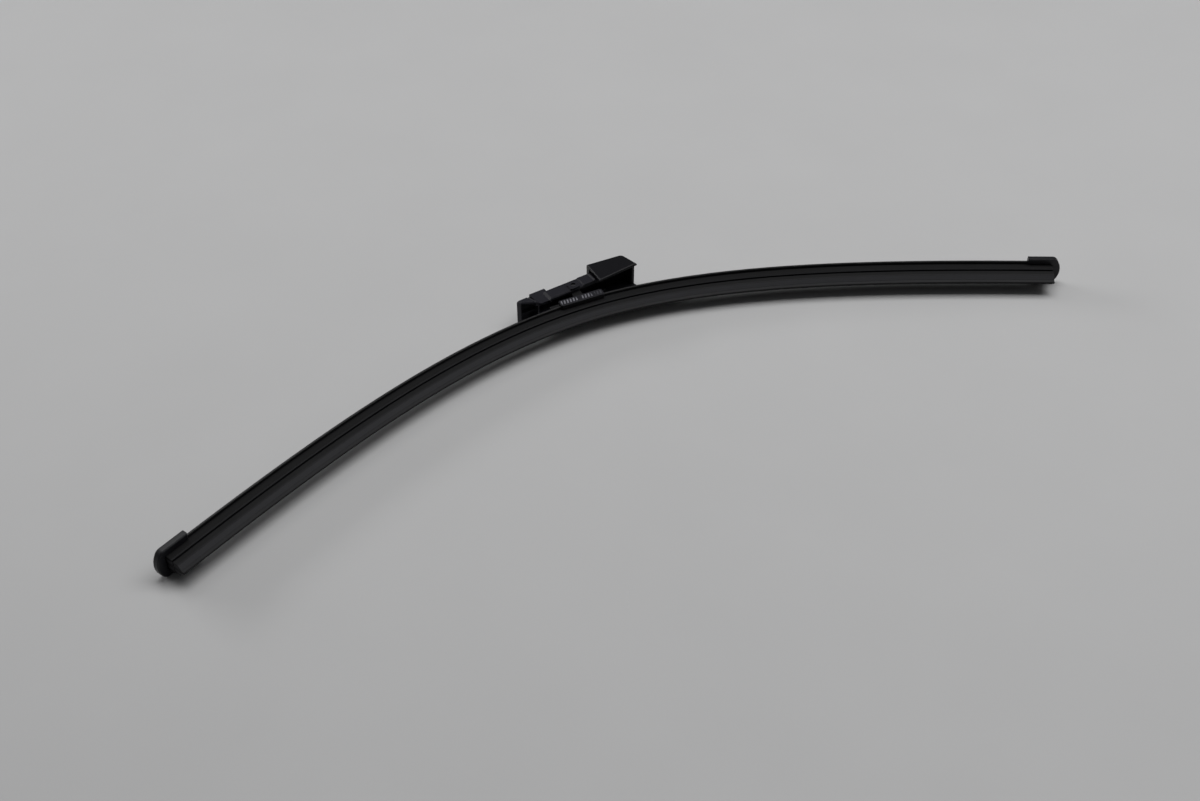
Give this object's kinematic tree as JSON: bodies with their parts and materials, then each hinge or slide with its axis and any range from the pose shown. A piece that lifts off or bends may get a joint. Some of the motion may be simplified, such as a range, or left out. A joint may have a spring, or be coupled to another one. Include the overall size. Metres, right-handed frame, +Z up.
{
  "type": "flat wiper blade",
  "caption": "Bowed flat wiper blade with a rubber lip, twin spring rails, clip-on end caps and a central bracket whose hooded adapter rocks on a pin.",
  "frame": {"origin": "middle of the footprint, on the surface that the blade lies on", "axes": "+X along the blade from the tail's side to the hood's side, +Y from the lip towards the back and the connector, +Z up"},
  "size_m": [0.3756, 0.0892, 0.012],
  "materials": {
    "rubber": "matte",
    "rail_steel": "satin",
    "cap_plastic": "fine grain",
    "bracket_plastic": "fine grain",
    "adapter_plastic": "fine grain",
    "pin_steel": "blackened"
  },
  "bodies": {
    "blade": {"wiper_rubber": "rubber", "spring_rail_upper": "rail_steel", "spring_rail_lower": "rail_steel", "end_cap_left": "cap_plastic", "end_cap_right": "cap_plastic", "bracket": "bracket_plastic", "pivot_pin": "pin_steel"},
    "adapter": {"adapter": "adapter_plastic"}
  },
  "joints": [
    {"name": "adapter_rock", "type": "hinge", "parent": "blade", "child": "adapter", "pos_m": [0, 0.03654, 0.006], "axis": [0, 0, 1], "range_deg": [-20.8, 5.2]}
  ]
}
